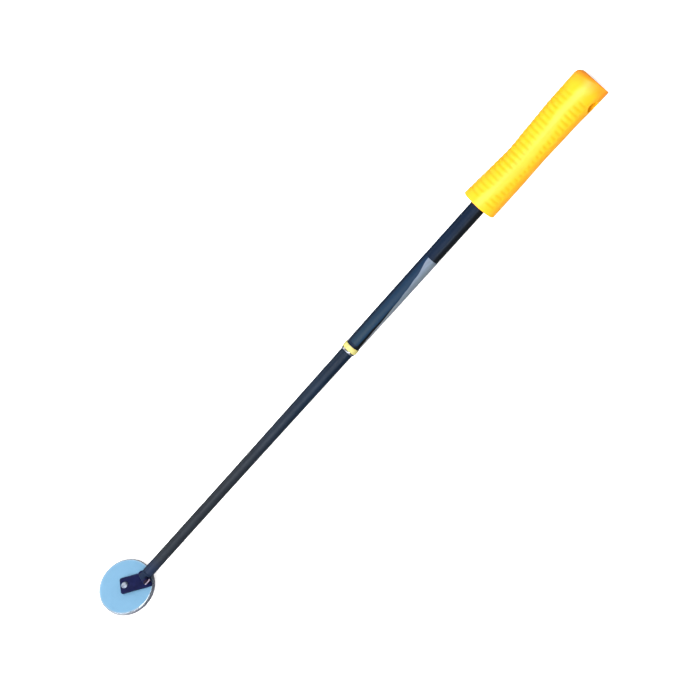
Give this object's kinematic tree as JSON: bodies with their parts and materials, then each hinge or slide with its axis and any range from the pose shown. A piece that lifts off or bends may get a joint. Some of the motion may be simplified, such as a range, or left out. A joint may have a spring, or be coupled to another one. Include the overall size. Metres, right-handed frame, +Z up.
{
  "type": "telescoping inspection mirror",
  "caption": "Hand-held inspection mirror: ribbed grip, telescoping tube, and a round mirror in a metal cup on a riveted bracket that tilts and swivels.",
  "frame": {"origin": "centre of the grip's flat butt face, on the tube's axis", "axes": "+X along the tube towards the mirror, +Z up, with the grip's back spine 20 degrees above +Y"},
  "size_m": [0.5977, 0.0452, 0.0378],
  "materials": {
    "grip": "glossy soft moulded vinyl, yellow",
    "tube_paint": "satin blue-black paint",
    "label": "printed film, navy with a silver sweep",
    "collar": "pale yellow moulded ring",
    "bright_steel": "bright nickel plate",
    "black_steel": "black oxide steel",
    "bracket_paint": "dark navy lacquer on steel",
    "nylon": "natural nylon",
    "black_nylon": "black nylon",
    "bronze": "phosphor bronze strip",
    "rubber": "black rubber",
    "mirror_cup": "polished pressed cup with a pale blue tint",
    "foam": "double-sided foam pad",
    "mirror_glass": "silvered glass"
  },
  "bodies": {
    "handle": {"grip": "grip", "outer_tube": "tube_paint", "tube_end_plug": "nylon", "end_bumper": "rubber", "label_wrap": "label", "collar_ring": "collar", "mouth_ferrule": "bright_steel"},
    "slider": {"friction_sleeve": "nylon", "friction_spring": "bronze"},
    "stage": {"inner_tube": "tube_paint", "tail_plug": "nylon", "tip_knuckle": "black_steel", "knuckle_spring_pin": "black_steel"},
    "yoke": {"swivel_yoke": "bracket_paint", "cross_pin": "bright_steel", "friction_washer_left": "black_nylon", "friction_washer_right": "black_nylon"},
    "bracket": {"bracket_plate": "bracket_paint", "yoke_washer": "bright_steel", "yoke_rivet": "bright_steel", "centre_rivet": "bright_steel", "wave_washer": "bright_steel"},
    "mirror": {"mirror_cup": "mirror_cup", "adhesive_pad": "foam", "glass_mirror": "mirror_glass"}
  },
  "joints": [
    {"name": "telescope", "type": "slide", "parent": "handle", "child": "slider", "axis": [1, 0, 0], "range_m": [-0.215, 0.002]},
    {"name": "tube_spin", "type": "hinge", "parent": "slider", "child": "stage", "pos_m": [0.4, 0, 0], "axis": [1, 0, 0], "continuous": true},
    {"name": "head_tilt", "type": "hinge", "parent": "stage", "child": "yoke", "pos_m": [0.5535, 0, 0], "axis": [0, -0.8462, -0.5329], "range_deg": [-17, 140]},
    {"name": "bracket_swivel", "type": "hinge", "parent": "yoke", "child": "bracket", "pos_m": [0.55667, 0.0038, -0.00603], "axis": [-0.4067, -0.4868, 0.773], "continuous": true},
    {"name": "mirror_turn", "type": "hinge", "parent": "bracket", "child": "mirror", "pos_m": [0.57319, -0.0063, -0.0037], "axis": [-0.4067, -0.4868, 0.773], "continuous": true}
  ]
}
